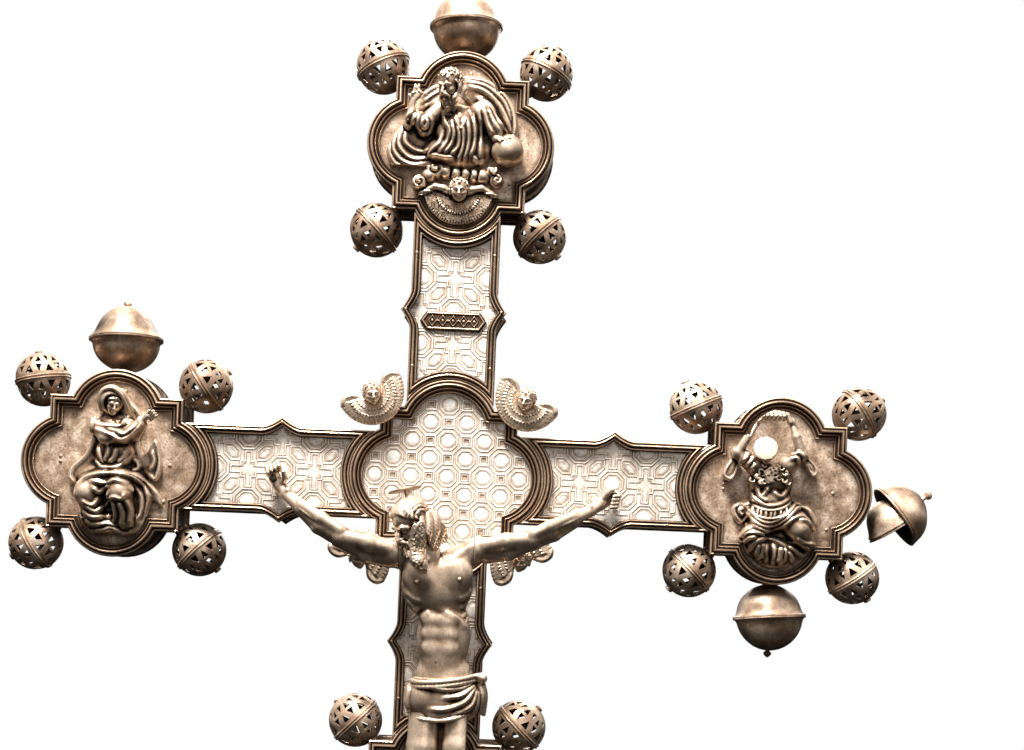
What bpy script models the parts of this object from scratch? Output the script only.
"""Processional cross with quatrefoil ends: a wooden core in sheet metal, cast frames and reliefs, a corpus,
and hollow balls that turn on their pins. Metres, +Z up, front towards -Y. The origin is the blind end of the
staff socket, where the staff's top bears."""

import math

import bmesh
import bpy
from mathutils import Matrix, Vector

MM = 0.001
GAP = 0.3 * MM

# The cross in its own plane, from the centre of the crossing
CROSSING_HEIGHT = 351.5 * MM
REACH = 200 * MM
ARM_HALF_WIDTH = 26 * MM
OGEE_MIDDLE = 100 * MM
OGEE_HALF_LENGTH = 12 * MM
OGEE_RISE = 5.7 * MM
OGEE_CURVE = 1.6
OGEE_STEPS = 2
LOBE_STEPS = 3
QUARTERS = {"right": 0, "upper": 1, "left": 2, "lower": 3}
ENDS = {"right": "right", "upper": "top", "left": "left", "lower": "lower"}


class Quatrefoil:
    """A square with a round lobe on each side. Insets keep the lobes' centres."""

    def __init__(self, half, lobe_radius, lobe_offset):
        self.half = half
        self.lobe_radius = lobe_radius
        self.lobe_offset = lobe_offset

    def lobe(self, inset):
        """The lobe on the +u side, from -v to +v."""
        radius = self.lobe_radius - inset
        reach = self.half - inset - self.lobe_offset
        spread = math.acos(reach / radius)
        points = []
        for step in range(-LOBE_STEPS, LOBE_STEPS + 1):
            angle = spread * step / LOBE_STEPS
            points.append((self.lobe_offset + radius * math.cos(angle), radius * math.sin(angle)))
        return points

    def outline(self, inset):
        corner = self.half - inset
        points = []
        for quarter in range(4):
            points += turned_points(self.lobe(inset) + [(corner, corner)], quarter)
        return points


MEDALLION = Quatrefoil(40 * MM, 29 * MM, 27.5 * MM)
CROSSING = Quatrefoil(41.5 * MM, 30.5 * MM, 28 * MM)

# Layers, as depth from the mid plane towards the front or the back
CORE_DEPTH = 12 * MM
SHEET_BACK = CORE_DEPTH + GAP
SHEET_FRONT = SHEET_BACK + 1 * MM
BORDER_BACK = SHEET_FRONT + GAP
FIELD_DEPTH = 14.5 * MM
FRAME_FRONT = 19 * MM
RELIEF_BACK = FIELD_DEPTH + GAP
RELIEF_FRONT = 48 * MM

# Insets from the frames' outer edge
CORE_INSET = 3.5 * MM
BAND_OUTER_INSET = 2.3 * MM
BAND_INNER_INSET = 3.2 * MM
SHEET_INSET = 0.8 * MM
FRAME_WIDTH = 7.7 * MM
BORDER_WIDTH = 5.5 * MM

# Moulding sections, as (inset, depth)
FRAME_RIDGE = [
    (0, 17 * MM),
    (1.2 * MM, 18.6 * MM),
    (3.2 * MM, FRAME_FRONT),
    (4.8 * MM, 17.2 * MM),
    (6.6 * MM, 16.6 * MM),
]
BORDER_SECTION = [
    (0, BORDER_BACK),
    (0, 17 * MM),
    (1.4 * MM, 18.5 * MM),
    (3.2 * MM, 16.6 * MM),
    (BORDER_WIDTH, 16 * MM),
    (BORDER_WIDTH, BORDER_BACK),
]
BACK_SECTION = [
    (0, BORDER_BACK),
    (0, 17 * MM),
    (2.4 * MM, FRAME_FRONT),
    (BORDER_WIDTH, BORDER_BACK),
]

# Balls, and the pins that they turn on
BALL_RADIUS = 16.4 * MM
BALL_OFFSET = 50 * MM
BALL_WALL = 1.2 * MM
BALL_SEGMENTS = 10
BAND_RISE = 0.8 * MM
LARGE_SEGMENTS = 12
LARGE_RADIUS = 21.2 * MM
LARGE_OFFSET = 76.5 * MM
LARGE_FLANGE_RADIUS = 22.7 * MM
VENT_RADIUS = 1.2 * MM
PIN_RADIUS = 2 * MM
PIN_HOLE_RADIUS = 2.5 * MM
SMALL_PIN_END = 40 * MM
LARGE_PIN_END = 38 * MM
OUTER_SHELL_CENTRE = Vector((74.2, 0, -12.6)) * MM
OUTER_SHELL_LEAN = math.radians(36)
INNER_SHELL_CENTRE = Vector((75, 0, -18.3)) * MM
INNER_SHELL_LEAN = math.radians(124)
INNER_SHELL_RADIUS = 19.2 * MM
LARGE_BALLS = {"top": ("upper", 1), "left": ("left", 1), "right": ("right", 3)}

# The staff fittings under the lower medallion
NECK_BASE = 83.3 * MM
NECK_TOP = CROSSING_HEIGHT - REACH - 56.5 * MM - GAP
NECK_RADIUS = 15 * MM
TENON_RADIUS = 5 * MM
TENON_TOP = NECK_TOP + 45 * MM
SPIGOT_RADIUS = 8 * MM
KNOP_BOTTOM = 27 * MM
KNOP_TOP = NECK_BASE - GAP
KNOP_RADIUS = 36 * MM
SOCKET_FLOOR = 12 * MM
SOCKET_MOUTH = -105 * MM
SOCKET_SEGMENTS = 16
TURNED_SEGMENTS = 16

HALO_CENTRE = Vector((-23.5, -34, -9.6)) * MM
HALO_TILT = math.radians(14)
NAIL_HOLE_RADIUS = 1.4 * MM
NAIL_RADIUS = 1.0 * MM
NAIL_END = 5 * MM
# The nails as (across, front of the head, up), from the centre of the crossing
NAILS = {
    "left_hand_nail": (-103 * MM, 25.5 * MM, -5.5 * MM),
    "right_hand_nail": (100.6 * MM, 25.5 * MM, -7.1 * MM),
    "feet_nail": (3 * MM, 38 * MM, -233 * MM),
}


def clear_scene():
    for obj in list(bpy.data.objects):
        bpy.data.objects.remove(obj, do_unlink=True)


def new_collection(name):
    collection = bpy.data.collections.new(name)
    bpy.context.scene.collection.children.link(collection)
    return collection


def new_material(name, colour, metallic, roughness):
    material = bpy.data.materials.new(name)
    material.use_nodes = True
    shader = material.node_tree.nodes["Principled BSDF"]
    shader.inputs["Base Color"].default_value = (*colour, 1)
    shader.inputs["Metallic"].default_value = metallic
    shader.inputs["Roughness"].default_value = roughness
    material.diffuse_color = (*colour, 1)
    return material


clear_scene()
PARTS = new_collection("processional_cross")
HELPERS = new_collection("helpers")
FRAME_BRONZE = new_material("frame_bronze", (0.20, 0.12, 0.07), 1, 0.40)
FIELD_BRONZE = new_material("field_bronze", (0.30, 0.20, 0.13), 1, 0.50)
FIGURE_BRONZE = new_material("figure_bronze", (0.55, 0.42, 0.30), 1, 0.28)
SILVERED_SHEET = new_material("silvered_sheet", (0.78, 0.72, 0.64), 1, 0.35)
BALL_COPPER = new_material("ball_copper", (0.38, 0.25, 0.16), 1, 0.38)
DARK_IRON = new_material("dark_iron", (0.05, 0.04, 0.035), 1, 0.6)
WOOD = new_material("core_wood", (0.22, 0.13, 0.07), 0, 0.75)


def add_object(name, data, material, collection=PARTS):
    obj = bpy.data.objects.new(name, data)
    collection.objects.link(obj)
    if material:
        data.materials.clear()
        data.materials.append(material)
    return obj


def add_helper(name, data):
    helper = add_object(name, data, None, HELPERS)
    helper.hide_render = True
    helper.display_type = "WIRE"
    return helper


def mesh_of(shape):
    """A mesh with outward faces, from a bmesh that it frees."""
    bmesh.ops.recalc_face_normals(shape, faces=shape.faces)
    mesh = bpy.data.meshes.new("shape")
    shape.to_mesh(mesh)
    shape.free()
    return mesh


def baked_mesh(obj):
    """The object's mesh with its modifiers applied. The object is removed."""
    bpy.context.view_layer.update()
    graph = bpy.context.evaluated_depsgraph_get()
    mesh = bpy.data.meshes.new_from_object(obj.evaluated_get(graph))
    bpy.data.objects.remove(obj, do_unlink=True)
    shape = bmesh.new()
    shape.from_mesh(mesh)
    bmesh.ops.remove_doubles(shape, verts=shape.verts, dist=1e-6)
    shape.to_mesh(mesh)
    shape.free()
    return mesh


def boolean(obj, operation, helper):
    modifier = obj.modifiers.new(operation.lower(), "BOOLEAN")
    modifier.operation = operation
    modifier.solver = "EXACT"
    modifier.object = helper


# --- Outlines in the plane of the cross ---


def turned_points(points, quarter):
    """The points turned by this many quarter turns, anticlockwise."""
    for _ in range(quarter):
        points = [(-v, u) for u, v in points]
    return points


def moved_points(points, u, v):
    return [(point[0] + u, point[1] + v) for point in points]


def ogee_edge(half_width):
    """An arm's edge from the crossing outwards, on the +v side, with the ogee point at its middle."""
    points = []
    for step in range(-OGEE_STEPS, OGEE_STEPS + 1):
        along = step / OGEE_STEPS
        rise = OGEE_RISE * (1 - abs(along)) ** OGEE_CURVE
        points.append((OGEE_MIDDLE + along * OGEE_HALF_LENGTH, half_width + rise))
    return points


def mirrored_across(points):
    return [(u, -v) for u, v in points]


def arc(centre_u, radius, first, last):
    points = []
    for step in range(2 * LOBE_STEPS + 1):
        angle = first + (last - first) * step / (2 * LOBE_STEPS)
        points.append((centre_u + radius * math.cos(angle), radius * math.sin(angle)))
    return points


def arm_outline(inset):
    """The right arm's panel, between the lobe of the crossing and the lobe of the medallion."""
    half_width = ARM_HALF_WIDTH - inset
    inner_radius = CROSSING.lobe_radius + GAP + inset
    outer_radius = MEDALLION.lobe_radius + GAP + inset
    inner_angle = math.asin(half_width / inner_radius)
    outer_angle = math.asin(half_width / outer_radius)
    top = ogee_edge(half_width)
    outer_centre = REACH - MEDALLION.lobe_offset
    outer_arc = arc(outer_centre, outer_radius, math.pi + outer_angle, math.pi - outer_angle)
    inner_arc = arc(CROSSING.lobe_offset, inner_radius, inner_angle, -inner_angle)
    return mirrored_across(top) + outer_arc + top[::-1] + inner_arc


def cross_outline(inset):
    """The whole cross, anticlockwise."""
    half_width = ARM_HALF_WIDTH - inset
    crossing = CROSSING.half - inset
    shoulder = REACH - MEDALLION.half + inset
    corner = MEDALLION.half - inset
    lobe = MEDALLION.lobe(inset)
    head = [(-corner, -corner)]
    for quarter in (3, 0, 1):
        head += turned_points(lobe, quarter)
        head += turned_points([(corner, corner)], quarter)
    edge = ogee_edge(half_width)
    arm = [(crossing, -half_width)]
    arm += mirrored_across(edge)
    arm += [(shoulder, -half_width)]
    arm += moved_points(head, REACH, 0)
    arm += [(shoulder, half_width)]
    arm += edge[::-1]
    arm += [(crossing, half_width), (crossing, crossing)]
    points = []
    for quarter in range(4):
        points += turned_points(arm, quarter)
    return points


def medallion_centre(end):
    """The centre of an end's medallion, as (u, v) from the centre of the crossing."""
    return turned_points([(REACH, 0)], QUARTERS[end])[0]


def in_world(point, depth, side=-1):
    """A point of the plane at this depth, on the front (-1) or the back (+1)."""
    return Vector((point[0], side * depth, CROSSING_HEIGHT + point[1]))


# --- Solids ---


def loft_mesh(loops, side=-1, ring=False):
    """Skins loops of equal length, each (points, depth). A ring joins the last to the first, and else both
    ends are filled."""
    shape = bmesh.new()
    rows = []
    for points, depth in loops:
        rows.append([shape.verts.new(in_world(point, depth, side)) for point in points])
    if ring:
        rows.append(rows[0])
    else:
        shape.faces.new(rows[0])
        shape.faces.new(rows[-1])
    for lower, upper in zip(rows, rows[1:]):
        for k in range(len(lower)):
            after = (k + 1) % len(lower)
            shape.faces.new((lower[k], lower[after], upper[after], upper[k]))
    return mesh_of(shape)


def plate_curve(outline, back, front, holes=(), side=-1):
    """A flat plate as a filled 2D curve. Its local Z points forwards. Holes are (u, v, radius)."""
    curve = bpy.data.curves.new("plate", "CURVE")
    curve.dimensions = "2D"
    curve.fill_mode = "BOTH"
    curve.extrude = (front - back) / 2
    loops = [outline]
    for u, v, radius in holes:
        loops.append([(u + x, v + y) for x, y in arc(0, radius, 0, 1.75 * math.pi)])
    for loop in loops:
        spline = curve.splines.new("POLY")
        spline.points.add(len(loop) - 1)
        for spot, (u, v) in zip(spline.points, loop):
            spot.co = (u, v, 0, 1)
        spline.use_cyclic_u = True
    return curve


def add_plate(name, outline, back, front, material, holes=(), side=-1):
    plate = add_object(name, plate_curve(outline, back, front, holes), material)
    plate.rotation_euler = (math.pi / 2, 0, 0)
    plate.location = in_world((0, 0), (back + front) / 2, side)
    return plate


def turned_mesh(profile, segments):
    """A solid turned about local Z, from a profile of (radius, height) that starts and ends on the axis or
    is closed. The profile runs anticlockwise seen with the radius to the right."""
    closed = profile[0][0] > 0
    mesh = bpy.data.meshes.new("profile")
    ends = list(range(len(profile))) + ([0] if closed else [])
    mesh.from_pydata([(r, 0, z) for r, z in profile], list(zip(ends, ends[1:])), [])
    helper = add_helper("profile", mesh)
    screw = helper.modifiers.new("screw", "SCREW")
    screw.steps = screw.render_steps = segments
    screw.use_merge_vertices = True
    screw.merge_threshold = 1e-6
    made = baked_mesh(helper)
    shape = bmesh.new()
    shape.from_mesh(made)
    return mesh_of(shape)


def cylinder_mesh(start, end, radius, segments=6):
    """A cylinder between two points."""
    shape = bmesh.new()
    add_limb(shape, start, end, radius, radius, segments)
    return mesh_of(shape)


def add_limb(shape, start, end, start_radius, end_radius, segments=10):
    start, end = Vector(start), Vector(end)
    along = end - start
    turn = along.to_track_quat("Z", "Y").to_matrix().to_4x4()
    bmesh.ops.create_cone(
        shape,
        cap_ends=True,
        segments=segments,
        radius1=start_radius,
        radius2=end_radius,
        depth=along.length,
        matrix=Matrix.Translation((start + end) / 2) @ turn,
    )


def add_ellipsoid(shape, centre, radii, tilt=0, detail=2):
    """An ellipsoid, tilted about Y by this many degrees."""
    place = Matrix.Translation(Vector(centre)) @ Matrix.Rotation(math.radians(tilt), 4, "Y")
    stretch = Matrix.Diagonal((*radii, 1))
    bmesh.ops.create_icosphere(shape, subdivisions=detail, radius=1, matrix=place @ stretch)


def box_mesh(low, high):
    shape = bmesh.new()
    low, high = Vector(low), Vector(high)
    place = Matrix.Translation((low + high) / 2) @ Matrix.Diagonal((*(high - low), 1))
    bmesh.ops.create_cube(shape, size=1, matrix=place)
    return mesh_of(shape)


def joined_mesh(meshes):
    """Meshes that don't touch, as one."""
    shape = bmesh.new()
    for mesh in meshes:
        shape.from_mesh(mesh)
    return mesh_of(shape)


# --- Holes for the pins, the nails and the neck ---


def corner_directions():
    """The four diagonals, named from the front."""
    return {
        "upper_right": Vector((1, 0, 1)).normalized(),
        "upper_left": Vector((-1, 0, 1)).normalized(),
        "lower_left": Vector((-1, 0, -1)).normalized(),
        "lower_right": Vector((1, 0, -1)).normalized(),
    }


def side_direction(quarter):
    u, v = turned_points([(1, 0)], quarter)[0]
    return Vector((u, 0, v))


def pin_holes():
    """Cutters for every hole in the core and its edge band."""
    holes = []
    for end in QUARTERS:
        centre = in_world(medallion_centre(end), 0)
        for direction in corner_directions().values():
            start = centre + direction * (SMALL_PIN_END - 1 * MM)
            stop = centre + direction * 60 * MM
            holes.append(cylinder_mesh(start, stop, PIN_HOLE_RADIUS))
    large = list(LARGE_BALLS.values()) + [("right", 0)]
    for end, quarter in large:
        centre = in_world(medallion_centre(end), 0)
        direction = side_direction(quarter)
        start = centre + direction * (LARGE_PIN_END - 1 * MM)
        holes.append(cylinder_mesh(start, centre + direction * 60 * MM, PIN_HOLE_RADIUS))
    neck_low = Vector((0, 0, NECK_TOP - 5 * MM))
    neck_high = Vector((0, 0, TENON_TOP + 1 * MM))
    holes.append(cylinder_mesh(neck_low, neck_high, TENON_RADIUS + 2 * GAP, 12))
    return holes


def nail_holes():
    holes = []
    for across, front, up in NAILS.values():
        start = in_world((across, up), front + 10 * MM)
        stop = in_world((across, up), NAIL_END - 1 * MM)
        holes.append(cylinder_mesh(start, stop, NAIL_HOLE_RADIUS))
    return holes


# --- The body of the cross ---


def add_core():
    loops = [(cross_outline(CORE_INSET), depth) for depth in (-CORE_DEPTH, CORE_DEPTH)]
    core = add_object("wooden_core", loft_mesh(loops), WOOD)
    boolean(core, "DIFFERENCE", ALL_HOLES)
    sections = [
        (BAND_OUTER_INSET, -CORE_DEPTH),
        (BAND_OUTER_INSET, CORE_DEPTH),
        (BAND_INNER_INSET, CORE_DEPTH),
        (BAND_INNER_INSET, -CORE_DEPTH),
    ]
    loops = [(cross_outline(inset), depth) for inset, depth in sections]
    band = add_object("edge_band", loft_mesh(loops, ring=True), FRAME_BRONZE)
    boolean(band, "DIFFERENCE", PIN_HOLES)


def add_crossing():
    section = [(0, BORDER_BACK)] + FRAME_RIDGE
    section += [(FRAME_WIDTH, 15.6 * MM), (FRAME_WIDTH, BORDER_BACK)]
    loops = [(CROSSING.outline(inset), depth) for inset, depth in section]
    add_object("crossing_frame", loft_mesh(loops, ring=True), FRAME_BRONZE)
    outline = CROSSING.outline(SHEET_INSET)
    add_plate("crossing_plate", outline, SHEET_BACK, SHEET_FRONT, SILVERED_SHEET)


def add_medallions():
    section = [(0, SHEET_BACK)] + FRAME_RIDGE + [(FRAME_WIDTH, FIELD_DEPTH)]
    for end, name in ENDS.items():
        centre = medallion_centre(end)
        loops = []
        for inset, depth in section:
            loops.append((moved_points(MEDALLION.outline(inset), *centre), depth))
        dish = add_object(f"{name}_medallion", loft_mesh(loops), FIELD_BRONZE)
        if end == "lower":
            boolean(dish, "DIFFERENCE", NAIL_HOLES)


def add_arms():
    hands = {"left": NAILS["left_hand_nail"], "right": NAILS["right_hand_nail"]}
    for end, quarter in QUARTERS.items():
        loops = []
        for inset, depth in BORDER_SECTION:
            loops.append((turned_points(arm_outline(inset), quarter), depth))
        add_object(f"{end}_arm_border", loft_mesh(loops, ring=True), FRAME_BRONZE)
        holes = []
        if end in hands:
            across, _, up = hands[end]
            holes.append((across, up, NAIL_HOLE_RADIUS))
        outline = turned_points(arm_outline(SHEET_INSET), quarter)
        name = f"{end}_arm_plate"
        add_plate(name, outline, SHEET_BACK, SHEET_FRONT, SILVERED_SHEET, holes)


def add_back():
    outline = cross_outline(SHEET_INSET)
    add_plate("back_plate", outline, SHEET_BACK, SHEET_FRONT, SILVERED_SHEET, side=1)
    loops = [(cross_outline(inset), depth) for inset, depth in BACK_SECTION]
    add_object("back_border", loft_mesh(loops, side=1, ring=True), FRAME_BRONZE)


def add_plaque():
    """The title plaque, a flat oblong with pointed ends."""
    half_width = 20.1 * MM
    half_height = 5.8 * MM
    shoulder = 16 * MM
    up = 94 * MM
    outline = [
        (-half_width, up),
        (-shoulder, up - half_height),
        (shoulder, up - half_height),
        (half_width, up),
        (shoulder, up + half_height),
        (-shoulder, up + half_height),
    ]
    add_plate("title_plaque", outline, BORDER_BACK, BORDER_BACK + 2 * MM, FRAME_BRONZE)


def add_fittings():
    neck = [
        (0, SOCKET_FLOOR + GAP),
        (SPIGOT_RADIUS, SOCKET_FLOOR + GAP),
        (SPIGOT_RADIUS, NECK_BASE),
        (NECK_RADIUS + 4 * MM, NECK_BASE),
        (NECK_RADIUS + 4 * MM, NECK_BASE + 2 * MM),
        (NECK_RADIUS - 2 * MM, NECK_BASE + 5 * MM),
        (NECK_RADIUS, NECK_TOP - 2 * MM),
        (NECK_RADIUS, NECK_TOP),
        (TENON_RADIUS, NECK_TOP),
        (TENON_RADIUS, TENON_TOP),
        (0, TENON_TOP),
    ]
    add_object("neck_ferrule", turned_mesh(neck, TURNED_SEGMENTS), FRAME_BRONZE)
    bore = SPIGOT_RADIUS + 2 * GAP
    middle = (KNOP_BOTTOM + KNOP_TOP) / 2
    knop = [
        (bore, KNOP_BOTTOM),
        (16 * MM, KNOP_BOTTOM),
        (17 * MM, KNOP_BOTTOM + 3 * MM),
        (29 * MM, KNOP_BOTTOM + 12 * MM),
        (KNOP_RADIUS - 2 * MM, middle - 6 * MM),
        (KNOP_RADIUS, middle - 2.5 * MM),
        (KNOP_RADIUS, middle + 2.5 * MM),
        (KNOP_RADIUS - 2 * MM, middle + 6 * MM),
        (29 * MM, KNOP_TOP - 12 * MM),
        (17 * MM, KNOP_TOP - 3 * MM),
        (16 * MM, KNOP_TOP),
        (bore, KNOP_TOP),
    ]
    add_object("knop", turned_mesh(knop, TURNED_SEGMENTS), BALL_COPPER)
    socket_top = KNOP_BOTTOM - GAP
    socket = [
        (0, 0),
        (15 * MM, 0),
        (17 * MM, SOCKET_MOUTH),
        (20 * MM, SOCKET_MOUTH),
        (20 * MM, SOCKET_MOUTH + 6 * MM),
        (18.6 * MM, SOCKET_MOUTH + 7 * MM),
        (17 * MM, SOCKET_FLOOR - 4 * MM),
        (19 * MM, SOCKET_FLOOR - 2 * MM),
        (19 * MM, SOCKET_FLOOR + 2 * MM),
        (13 * MM, SOCKET_FLOOR + 6 * MM),
        (15 * MM, socket_top),
        (bore, socket_top),
        (bore, SOCKET_FLOOR),
        (0, SOCKET_FLOOR),
    ]
    add_object("staff_socket", turned_mesh(socket, SOCKET_SEGMENTS), FRAME_BRONZE)


# --- Balls ---


def knobbed_pin(radius, inner_end, knob):
    """A ball's pin from its inner end, below the ball, and the knob on its outer pole. The ball's centre is
    the origin and the pin is on Z."""
    pin = [
        (0, inner_end),
        (PIN_RADIUS, inner_end),
        (PIN_RADIUS, -radius + 2 * BALL_WALL),
        (0, -radius + 2 * BALL_WALL),
    ]
    top = [
        (0, radius - 2 * BALL_WALL),
        (0.6 * knob, radius - 2 * BALL_WALL),
        (knob, radius + 0.8 * knob),
        (0, radius + 1.9 * knob),
    ]
    return joined_mesh([turned_mesh(pin, 6), turned_mesh(top, 6)])


def walled(shape):
    """A helper of this open or pierced skin, with the wall inside it."""
    ball = add_helper("ball", mesh_of(shape))
    wall = ball.modifiers.new("wall", "SOLIDIFY")
    wall.thickness = BALL_WALL
    wall.offset = -1
    return ball


def latitude(radius, degrees):
    angle = math.radians(degrees)
    return (radius * math.cos(angle), radius * math.sin(angle))


def pierced_ball_mesh():
    """A hollow ball with a row of three-cornered holes round each half, a raised band, its knob and its pin."""
    profile = [(0, -BALL_RADIUS), latitude(BALL_RADIUS, -60), latitude(BALL_RADIUS, -30)]
    profile += [(BALL_RADIUS + BAND_RISE, 0)]
    profile += [latitude(BALL_RADIUS, 30), latitude(BALL_RADIUS, 60), (0, BALL_RADIUS)]
    shape = bmesh.new()
    shape.from_mesh(turned_mesh(profile, BALL_SEGMENTS))
    pierced = []
    for face in shape.faces:
        middle = face.calc_center_median()
        turn = math.floor(math.atan2(middle.y, middle.x) / (2 * math.pi / BALL_SEGMENTS))
        in_row = 0.5 < abs(middle.z) / BALL_RADIUS < 0.8
        if in_row and turn % 2 == (middle.z > 0):
            pierced.append(face)
    halves = bmesh.ops.triangulate(shape, faces=pierced)["faces"]
    holes = []
    for face in halves:
        levels = sorted(abs(vert.co.z) for vert in face.verts)
        if levels[1] < sum(levels) / 3:
            holes.append(face)
    bmesh.ops.delete(shape, geom=holes, context="FACES_ONLY")
    ball = walled(shape)
    inner_end = SMALL_PIN_END - BALL_OFFSET * math.sqrt(2)
    pin = add_helper("pin", knobbed_pin(BALL_RADIUS, inner_end, 2.2 * MM))
    boolean(ball, "UNION", pin)
    return baked_mesh(ball)


def half_profile(radius, flange_radius):
    """The outer profile of a raised half, from under its flange to the pole."""
    lip = 1.1 * MM
    start = math.sqrt(radius**2 - lip**2)
    profile = [(flange_radius, 0), (flange_radius, lip), (start, lip)]
    profile += [latitude(radius, 30), latitude(radius, 60), (0, radius)]
    return profile


def large_ball_mesh():
    """A hollow ball of two raised halves soldered at a flange, with its vent, knob and pin."""
    upper = half_profile(LARGE_RADIUS, LARGE_FLANGE_RADIUS)
    lower = [(across, -up) for across, up in upper[:0:-1]]
    shape = bmesh.new()
    shape.from_mesh(turned_mesh(lower + upper[1:], LARGE_SEGMENTS))
    ball = walled(shape)
    pin = knobbed_pin(LARGE_RADIUS, LARGE_PIN_END - LARGE_OFFSET, 2.6 * MM)
    boolean(ball, "UNION", add_helper("pin", pin))
    vent_low = Vector((8 * MM, 1 * MM, 0.5 * LARGE_RADIUS))
    vent_high = Vector((8 * MM, 1 * MM, 1.2 * LARGE_RADIUS))
    vent = cylinder_mesh(vent_low, vent_high, VENT_RADIUS, 5)
    boolean(ball, "DIFFERENCE", add_helper("vent", vent))
    return baked_mesh(ball)


def place_on_axis(obj, centre, direction):
    """Puts the object's origin here and its Z along the direction."""
    turn = direction.to_track_quat("Z", "Y").to_matrix().to_4x4()
    obj.matrix_world = Matrix.Translation(centre) @ turn


def add_balls():
    small = pierced_ball_mesh()
    for end, name in ENDS.items():
        centre = in_world(medallion_centre(end), 0)
        for corner, direction in corner_directions().items():
            ball = add_object(f"{name}_{corner}_ball", small, BALL_COPPER)
            place_on_axis(ball, centre + direction * BALL_OFFSET * math.sqrt(2), direction)
    large = large_ball_mesh()
    for name, (end, quarter) in LARGE_BALLS.items():
        centre = in_world(medallion_centre(end), 0)
        direction = side_direction(quarter)
        ball = add_object(f"{name}_large_ball", large, BALL_COPPER)
        place_on_axis(ball, centre + direction * LARGE_OFFSET, direction)


def open_half(radius, flange_radius):
    """A raised half on its own, open at its rim."""
    shape = bmesh.new()
    profile = half_profile(radius, flange_radius)
    mesh = turned_mesh([(0, -radius)] + profile, LARGE_SEGMENTS)
    shape.from_mesh(mesh)
    lower = [face for face in shape.faces if face.calc_center_median().z < 0]
    bmesh.ops.delete(shape, geom=lower, context="FACES")
    mesh = bpy.data.meshes.new("half")
    shape.to_mesh(mesh)
    shape.free()
    half = add_helper("half", mesh)
    wall = half.modifiers.new("wall", "SOLIDIFY")
    wall.thickness = BALL_WALL
    wall.offset = -1
    return half


def add_broken_ball():
    """The ball at the right end: its two shells have come apart and gape on their bent pin."""
    middle = in_world(medallion_centre("right"), 0)
    outer_pole = Vector((math.cos(OUTER_SHELL_LEAN), 0, math.sin(OUTER_SHELL_LEAN)))
    inner_pole = Vector((math.cos(INNER_SHELL_LEAN), 0, math.sin(INNER_SHELL_LEAN)))
    outer = open_half(LARGE_RADIUS, LARGE_RADIUS + 1 * MM)
    knob = [
        (0, LARGE_RADIUS - 2 * BALL_WALL),
        (1.4 * MM, LARGE_RADIUS - 2 * BALL_WALL),
        (1.4 * MM, LARGE_RADIUS + 2 * MM),
        (2.8 * MM, LARGE_RADIUS + 4 * MM),
        (0, LARGE_RADIUS + 6.5 * MM),
    ]
    boolean(outer, "UNION", add_helper("knob", turned_mesh(knob, 8)))
    outer_shell = add_object("broken_ball_outer_shell", baked_mesh(outer), BALL_COPPER)
    place_on_axis(outer_shell, middle + OUTER_SHELL_CENTRE, outer_pole)
    inner = baked_mesh(open_half(INNER_SHELL_RADIUS, INNER_SHELL_RADIUS + GAP))
    inner_shell = add_object("broken_ball_inner_shell", inner, BALL_COPPER)
    place_on_axis(inner_shell, middle + INNER_SHELL_CENTRE, inner_pole)
    pin = [
        (0, 0),
        (PIN_RADIUS, 0),
        (PIN_RADIUS, 17 * MM),
        (3.4 * MM, 17 * MM),
        (3.4 * MM, 18.6 * MM),
        (PIN_RADIUS, 18.6 * MM),
        (PIN_RADIUS, 22 * MM),
        (0, 22 * MM),
    ]
    broken_pin = add_object("broken_ball_pin", turned_mesh(pin, 8), DARK_IRON)
    place_on_axis(broken_pin, middle + Vector((LARGE_PIN_END, 0, 0)), Vector((1, 0, 0)))


# --- Figures ---


class Figure:
    """A figure put together from rounded masses, in millimetres from a centre, with y as depth in front of
    the mid plane. It becomes one skin by a voxel remesh."""

    def __init__(self, centre):
        self.centre = centre
        self.shape = bmesh.new()

    def spot(self, across, depth, up):
        return in_world((self.centre[0] + across * MM, self.centre[1] + up * MM), depth * MM)

    def mass(self, spot, radii, tilt=0):
        radii = [radius * MM for radius in radii]
        add_ellipsoid(self.shape, self.spot(*spot), radii, tilt)
        return self

    def limb(self, *joints):
        """A chain of tapering limbs. Each joint is (across, depth, up, radius)."""
        for joint in joints:
            self.mass(joint[:3], (joint[3],) * 3)
        for start, end in zip(joints, joints[1:]):
            ends = self.spot(*start[:3]), self.spot(*end[:3])
            add_limb(self.shape, *ends, start[3] * MM, end[3] * MM)
        return self

    def finish(self, name, material, voxel, share, keep=None, cuts=()):
        """The figure's object: remeshed, thinned to this share of its faces, and kept inside one helper and
        outside others."""
        figure = add_object(name, mesh_of(self.shape), material)
        remesh = figure.modifiers.new("skin", "REMESH")
        remesh.mode = "VOXEL"
        remesh.voxel_size = voxel * MM
        thin = figure.modifiers.new("thin", "DECIMATE")
        thin.ratio = share
        if keep:
            boolean(figure, "INTERSECT", keep)
        for cut in cuts:
            boolean(figure, "DIFFERENCE", cut)
        return figure


def relief_room(name, end, low=-60 * MM, high=60 * MM):
    """The space over a medallion's field that its relief may fill, between two heights from its centre."""
    centre = medallion_centre(end)
    outline = moved_points(MEDALLION.outline(FRAME_WIDTH + 2 * GAP), *centre)
    room = add_helper(name, loft_mesh([(outline, RELIEF_BACK), (outline, RELIEF_FRONT)]))
    base = in_world(centre, 0)
    reach = 60 * MM
    lowest = base + Vector((-reach, -RELIEF_FRONT - GAP, low))
    highest = base + Vector((reach, 0, high))
    boolean(room, "INTERSECT", add_helper(name + "_span", box_mesh(lowest, highest)))
    return add_helper(name + "_room", baked_mesh(room))


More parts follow.
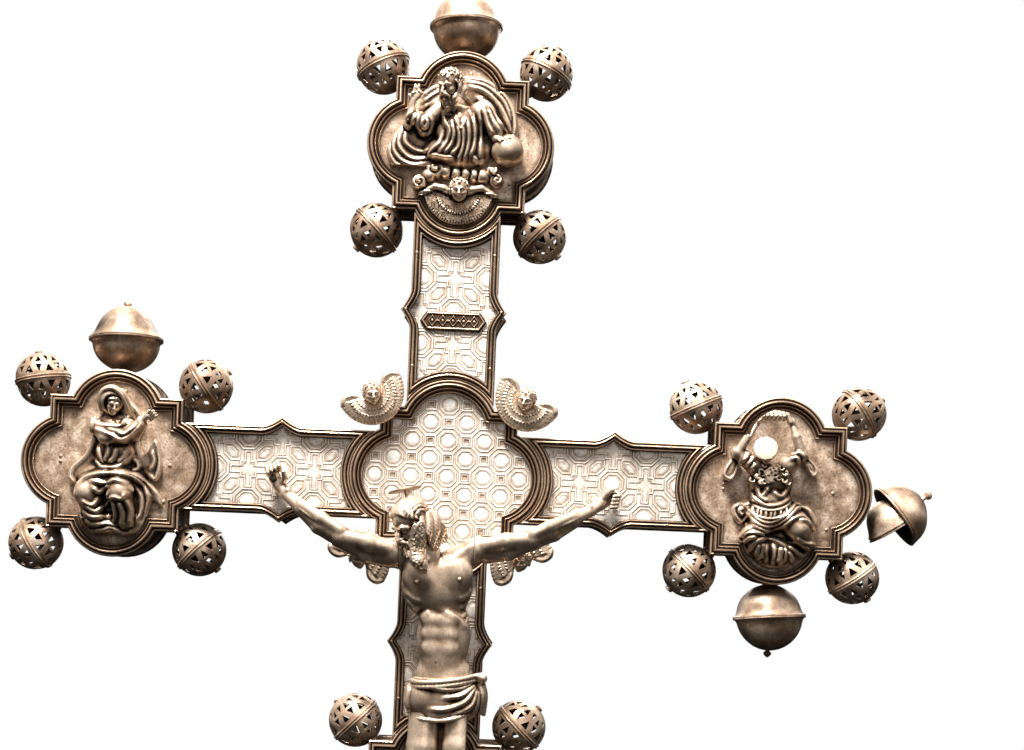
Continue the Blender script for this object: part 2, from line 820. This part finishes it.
def add_father():
    """The half figure at the top, with a blessing hand, a mantle and an orb, over a cloud with a child's
    winged head."""
    centre = medallion_centre("upper")
    figure = Figure(centre)
    figure.mass((-4, 32, 24), (7.5, 9, 9.5))
    figure.mass((-3, 32, 13), (6.5, 7, 8))
    figure.mass((-1, 22, 2), (17, 10, 14))
    figure.mass((0, 20, -8), (22, 8, 9))
    figure.limb((-13, 24, 8, 6), (-22, 26, 0, 5), (-24, 28, 12, 3.6), (-25, 28, 18, 3))
    figure.limb((12, 24, 8, 6), (22, 26, 0, 5.5), (26, 27, -5, 4))
    figure.mass((29, 24, -5), (9.5, 9.5, 9.5))
    figure.mass((-30, 17, 4), (9, 5, 16), 25)
    figure.mass((-24, 17, 22), (8, 4.5, 13), -40)
    figure.mass((22, 17, 20), (9, 4.5, 14), 40)
    figure.mass((0, 16, 30), (18, 4, 9))
    room = relief_room("father", "upper", low=-14 * MM + GAP)
    figure.finish("father_relief", FIGURE_BRONZE, 1.8, 0.075, room)
    cloud = Figure(centre)
    for across in (-24, -12, 0, 12, 24):
        cloud.mass((across, 18, -19 + abs(across) / 8), (8, 6, 6))
    cloud.mass((0, 24, -32), (7, 8, 8.5))
    cloud.mass((-13, 17, -32), (9, 4.5, 8), -25)
    cloud.mass((13, 17, -32), (9, 4.5, 8), 25)
    cloud.mass((0, 16, -26), (20, 4, 10))
    room = relief_room("cloud", "upper", high=-14 * MM - GAP)
    cloud.finish("cloud_relief", FIGURE_BRONZE, 1.8, 0.10, room)


def add_virgin():
    """The seated, veiled figure at the left end, with clasped hands raised."""
    figure = Figure(medallion_centre("left"))
    figure.mass((-3, 27, 28), (7, 8, 9), 10)
    figure.mass((-5, 20, 22), (10, 6, 14))
    figure.mass((1, 22, 8), (15, 9, 13))
    figure.limb((10, 24, 12, 6), (17, 27, 4, 5), (18, 29, 15, 3.8), (20, 29, 20, 3))
    figure.mass((-1, 20, -8), (20, 8, 12))
    figure.limb((-12, 24, -12, 9), (6, 28, -16, 8), (-2, 24, -34, 6))
    figure.limb((4, 24, -14, 9), (14, 26, -22, 8), (10, 22, -36, 6))
    figure.mass((0, 17, -30), (24, 5, 14))
    room = relief_room("virgin", "left")
    figure.finish("virgin_relief", FIGURE_BRONZE, 1.8, 0.08, room)


def add_saint_john():
    """The figure at the right end, with its hands joined over its head and a halo."""
    figure = Figure(medallion_centre("right"))
    figure.mass((-4, 27, 20), (7, 8, 8))
    figure.mass((-8, 32, 23), (7.4, 1.6, 7.4))
    figure.mass((0, 22, 5), (13, 9, 15))
    figure.limb((-12, 24, 12, 6), (-21, 26, 20, 4.5), (-12, 28, 34, 3.5), (-5, 28, 39, 3))
    figure.limb((12, 24, 12, 6), (21, 26, 20, 4.5), (12, 28, 34, 3.5), (2, 28, 39, 3))
    figure.mass((1, 22, -10), (19, 9, 10))
    figure.mass((0, 21, -24), (21, 8, 13))
    figure.mass((0, 18, -36), (17, 5, 9))
    room = relief_room("saint", "right")
    figure.finish("saint_john_relief", FIGURE_BRONZE, 1.8, 0.085, room)


def add_cherubs():
    """A winged child's head in each angle of the crossing, its wings along the two arms."""
    heads = {
        "upper_left": (-46, 47),
        "upper_right": (46, 47),
        "lower_left": (-50, -51),
        "lower_right": (47, -49),
    }
    front = add_helper("cherub_room", box_mesh((-0.1, -0.1, 0), (0.1, -FRAME_FRONT - GAP, 0.5)))
    for name, (across, up) in heads.items():
        right = math.copysign(1, across)
        top = math.copysign(1, up)
        figure = Figure((across * MM, up * MM))
        figure.mass((0, 25, 0), (6.8, 6.8, 7.6))
        figure.mass((-right * 10, 21, top * 7), (8, 3.4, 10), right * top * 25)
        figure.mass((right * 7, 21, -top * 10), (10, 3.4, 8), right * top * 25)
        figure.mass((-right * 6, 21, -top * 6), (10, 3.4, 10))
        figure.finish(f"{name}_cherub", FIGURE_BRONZE, 1.5, 0.09, front)


def add_corpus():
    """The crucified figure: head, trunk and legs in one casting, the arms cast apart, and a loincloth."""
    shoulders = {"left": -25 * MM, "right": 19 * MM}
    body = Figure((0, 0))
    body.mass((-20.5, 45, -30), (10.5, 12, 14), -8)
    body.mass((-14, 46, -45), (8, 8, 9), -10)
    body.limb((-14, 43, -40, 8), (-4, 38, -52, 9))
    body.mass((-2, 37, -64), (20, 12, 17))
    body.mass((-13, 40, -60), (11, 9, 10))
    body.mass((10, 40, -57), (11, 9, 10))
    body.limb((-2, 37, -50, 8), (-30, 36, -49, 7.2))
    body.limb((0, 37, -48, 8), (23, 36, -42, 7.2))
    body.mass((1, 37, -84), (17, 11, 20))
    body.mass((2, 36, -102), (14.5, 10.5, 18))
    body.limb((3, 36, -112, 12), (4, 36, -148, 12))
    body.limb((-4.5, 37, -140, 9), (-7, 45, -186, 7.4), (0, 29, -228, 5), (1, 27, -236, 4.6))
    body.limb((14.5, 37, -140, 9), (14, 46, -184, 7.4), (6, 30, -228, 5), (5, 28, -236, 4.6))
    body.limb((1, 26.5, -236, 4.6), (3, 31, -246, 3.6))
    body.limb((5, 29, -234, 4.6), (4, 34, -246, 3.6))
    hips = in_world((4 * MM, 0), 36 * MM)
    cloth_top = Vector((hips.x, hips.y, CROSSING_HEIGHT - 118 * MM))
    cloth_bottom = Vector((hips.x, hips.y, CROSSING_HEIGHT - 146 * MM))
    around = cylinder_mesh(cloth_bottom, cloth_top, 45 * MM, 16)
    waist = oval_mesh(cloth_bottom, cloth_top, 15.5 * MM, 11 * MM)
    cloth_room = add_helper("cloth_room", around)
    boolean(cloth_room, "DIFFERENCE", add_helper("waist", waist))
    cloth_room = add_helper("cloth_ring", baked_mesh(cloth_room))
    trunk_low = (shoulders["left"] + GAP, -0.1, 0)
    trunk_high = (shoulders["right"] - GAP, -FRAME_FRONT - 1 * MM, 0.5)
    trunk_room = add_helper("trunk_room", box_mesh(trunk_low, trunk_high))
    legs_low = (-0.1, -0.1, 0)
    legs_high = (0.1, -FRAME_FRONT - 1 * MM, CROSSING_HEIGHT - 70 * MM)
    boolean(trunk_room, "UNION", add_helper("legs_room", box_mesh(legs_low, legs_high)))
    trunk_room = add_helper("corpus_room", baked_mesh(trunk_room))
    halo_foot = cylinder_mesh(halo_spot(-8 * MM), halo_spot(4 * MM), 1.2 * MM)
    halo_hole = add_helper("halo_hole", halo_foot)
    cuts = [cloth_room, NAIL_HOLES, halo_hole]
    body.finish("corpus_body", FIGURE_BRONZE, 1.7, 0.066, trunk_room, cuts)

    left = Figure((0, 0))
    left.limb((-20, 36, -51, 7.4), (-30, 36, -49, 7.2), (-59.6, 39, -38.5, 5.2), (-95.7, 23, -15.4, 3.3))
    left.limb((-95.7, 23, -15.4, 3.3), (-102, 20, -8, 4))
    left.mass((-103, 19.5, -5), (4.6, 3.6, 6.4), 35)
    room = box_mesh((-0.2, -0.1, 0), (shoulders["left"] - GAP, -BORDER_BACK - GAP, 0.5))
    room = add_helper("left_arm_room", room)
    left.finish("corpus_left_arm", FIGURE_BRONZE, 1.6, 0.085, room, [NAIL_HOLES])

    right = Figure((0, 0))
    right.limb((14, 36, -44, 7.4), (23, 36, -42, 7.2), (52.2, 39, -35.4, 5.2), (86.3, 23, -17.9, 3.3))
    right.limb((86.3, 23, -17.9, 3.3), (97, 20, -9.5, 4))
    right.mass((100.6, 19.5, -7.1), (5.6, 3.6, 4.6), -35)
    room = box_mesh((shoulders["right"] + GAP, -0.1, 0), (0.2, -BORDER_BACK - GAP, 0.5))
    room = add_helper("right_arm_room", room)
    right.finish("corpus_right_arm", FIGURE_BRONZE, 1.6, 0.085, room, [NAIL_HOLES])

    cloth = Figure((0, 0))
    cloth.limb((4, 36, -126, 15), (4, 36, -138, 15.5))
    cloth.mass((-8, 37, -131), (13, 13.5, 13))
    cloth.mass((16, 37, -131), (12, 13.5, 13))
    cloth.mass((26, 38, -124), (5, 5, 7))
    inside = oval_mesh(
        cloth_bottom - Vector((0, 0, 10 * MM)),
        cloth_top + Vector((0, 0, 10 * MM)),
        15.5 * MM + GAP,
        11 * MM + GAP,
    )
    inside = add_helper("cloth_inside", inside)
    low = (-0.1, -0.1, cloth_bottom.z + GAP)
    high = (0.1, -FRAME_FRONT - GAP, cloth_top.z - GAP)
    room = add_helper("cloth_span", box_mesh(low, high))
    cloth.finish("loincloth", FIGURE_BRONZE, 1.7, 0.07, room, [inside])


def oval_mesh(bottom, top, half_width, half_depth):
    """An upright oval prism."""
    shape = bmesh.new()
    stretch = Matrix.Diagonal((half_width, half_depth, 1, 1))
    place = Matrix.Translation((bottom + top) / 2)
    bmesh.ops.create_cone(
        shape,
        cap_ends=True,
        segments=20,
        radius1=1,
        radius2=1,
        depth=(top - bottom).length,
        matrix=place @ stretch,
    )
    return mesh_of(shape)


def halo_spot(height):
    """A point on the halo's stem, at this height over the disc."""
    centre = Vector((HALO_CENTRE.x, HALO_CENTRE.y, HALO_CENTRE.z + CROSSING_HEIGHT))
    return centre + Vector((-math.sin(HALO_TILT), 0, math.cos(HALO_TILT))) * height


def add_halo():
    disc = [
        (0, -7 * MM),
        (0.8 * MM, -7 * MM),
        (0.8 * MM, -0.6 * MM),
        (10 * MM, -0.6 * MM),
        (10 * MM, 0.6 * MM),
        (0, 0.6 * MM),
    ]
    halo = add_object("corpus_halo", turned_mesh(disc, TURNED_SEGMENTS), FIGURE_BRONZE)
    place_on_axis(halo, halo_spot(0), (halo_spot(MM) - halo_spot(0)).normalized())


def add_nails():
    for name, (across, front, up) in NAILS.items():
        length = front - NAIL_END
        nail = [
            (0, -length),
            (NAIL_RADIUS, -length),
            (NAIL_RADIUS, -1.2 * MM),
            (2.4 * MM, -1.2 * MM),
            (2.0 * MM, 0.4 * MM),
            (0, 1.2 * MM),
        ]
        obj = add_object(name, turned_mesh(nail, 8), DARK_IRON)
        place_on_axis(obj, in_world((across, up), front), Vector((0, -1, 0)))


PIN_HOLES = add_helper("pin_holes", joined_mesh(pin_holes()))
NAIL_HOLES = add_helper("nail_holes", joined_mesh(nail_holes()))
ALL_HOLES = add_helper("all_holes", joined_mesh(pin_holes() + nail_holes()))
add_core()
add_crossing()
add_medallions()
add_arms()
add_back()
add_plaque()
add_fittings()
add_balls()
add_broken_ball()
add_father()
add_virgin()
add_saint_john()
add_cherubs()
add_corpus()
add_halo()
add_nails()
